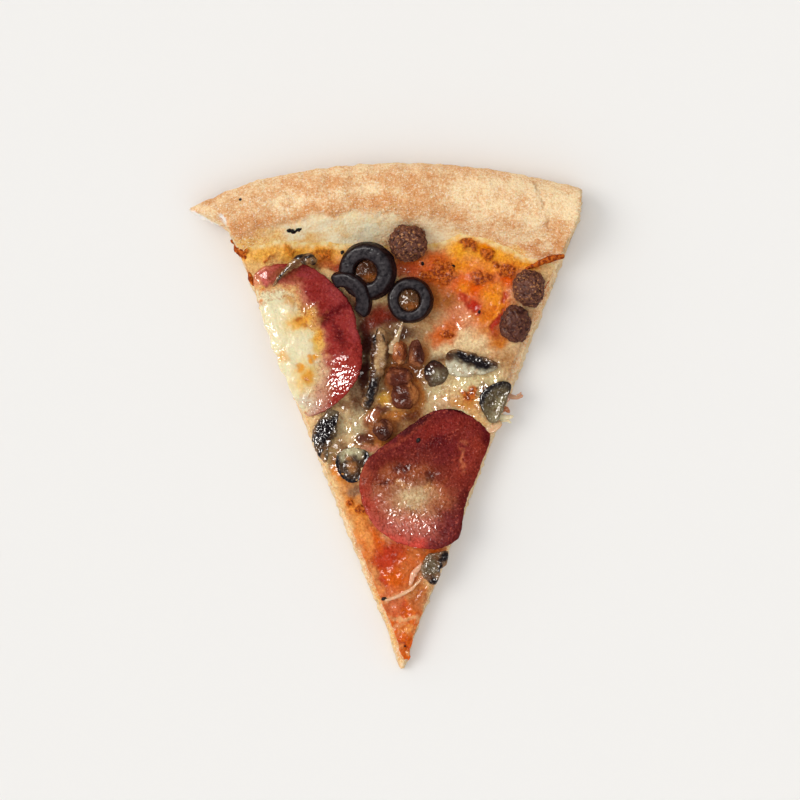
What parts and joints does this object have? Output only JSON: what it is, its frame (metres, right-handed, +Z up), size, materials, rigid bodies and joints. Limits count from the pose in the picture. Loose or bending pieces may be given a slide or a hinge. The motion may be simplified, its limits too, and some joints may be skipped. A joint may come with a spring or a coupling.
{
  "type": "pizza slice",
  "caption": "Triangular slice of thin pizza with a risen crust, tomato sauce, melted cheese, salami, olive rings, mushrooms and meatballs.",
  "frame": {"origin": "middle of the bounding box in plan, on the flat underside", "axes": "+Y from the tip towards the crust, +Z up through the topping, +X to the right seen from above with the crust away from the viewer"},
  "size_m": [0.1372, 0.1726, 0.0171],
  "materials": {
    "baked_dough": "dry baked crust, golden with browner blotches, rough",
    "tomato_sauce": "wet, oily tomato sauce",
    "melted_cheese": "melted cheese, oily sheen, browned in spots",
    "salami": "baked salami, dark red, greasy",
    "black_olive": "black olive, satin",
    "meatball": "fried minced meat, crumbly",
    "mushroom": "baked mushroom, dark edges"
  },
  "bodies": {
    "root": {"dough": "baked_dough", "tomato_sauce": "tomato_sauce", "cheese": "melted_cheese", "melted_cheese_left": "melted_cheese", "melted_cheese_right": "melted_cheese", "salami_left": "salami", "salami_right": "salami", "olive_1": "black_olive", "olive_2": "black_olive", "olive_3": "black_olive", "olive_4": "black_olive", "olive_5": "black_olive", "meatball_1": "meatball", "meatball_2": "meatball", "meatball_3": "meatball", "meatball_4": "meatball", "meatball_5": "meatball", "meatball_6": "meatball", "meatball_7": "meatball", "meatball_8": "meatball", "mushroom_1": "mushroom", "mushroom_2": "mushroom", "mushroom_3": "mushroom", "mushroom_4": "mushroom", "mushroom_5": "mushroom", "mushroom_6": "mushroom"}
  },
  "joints": []
}
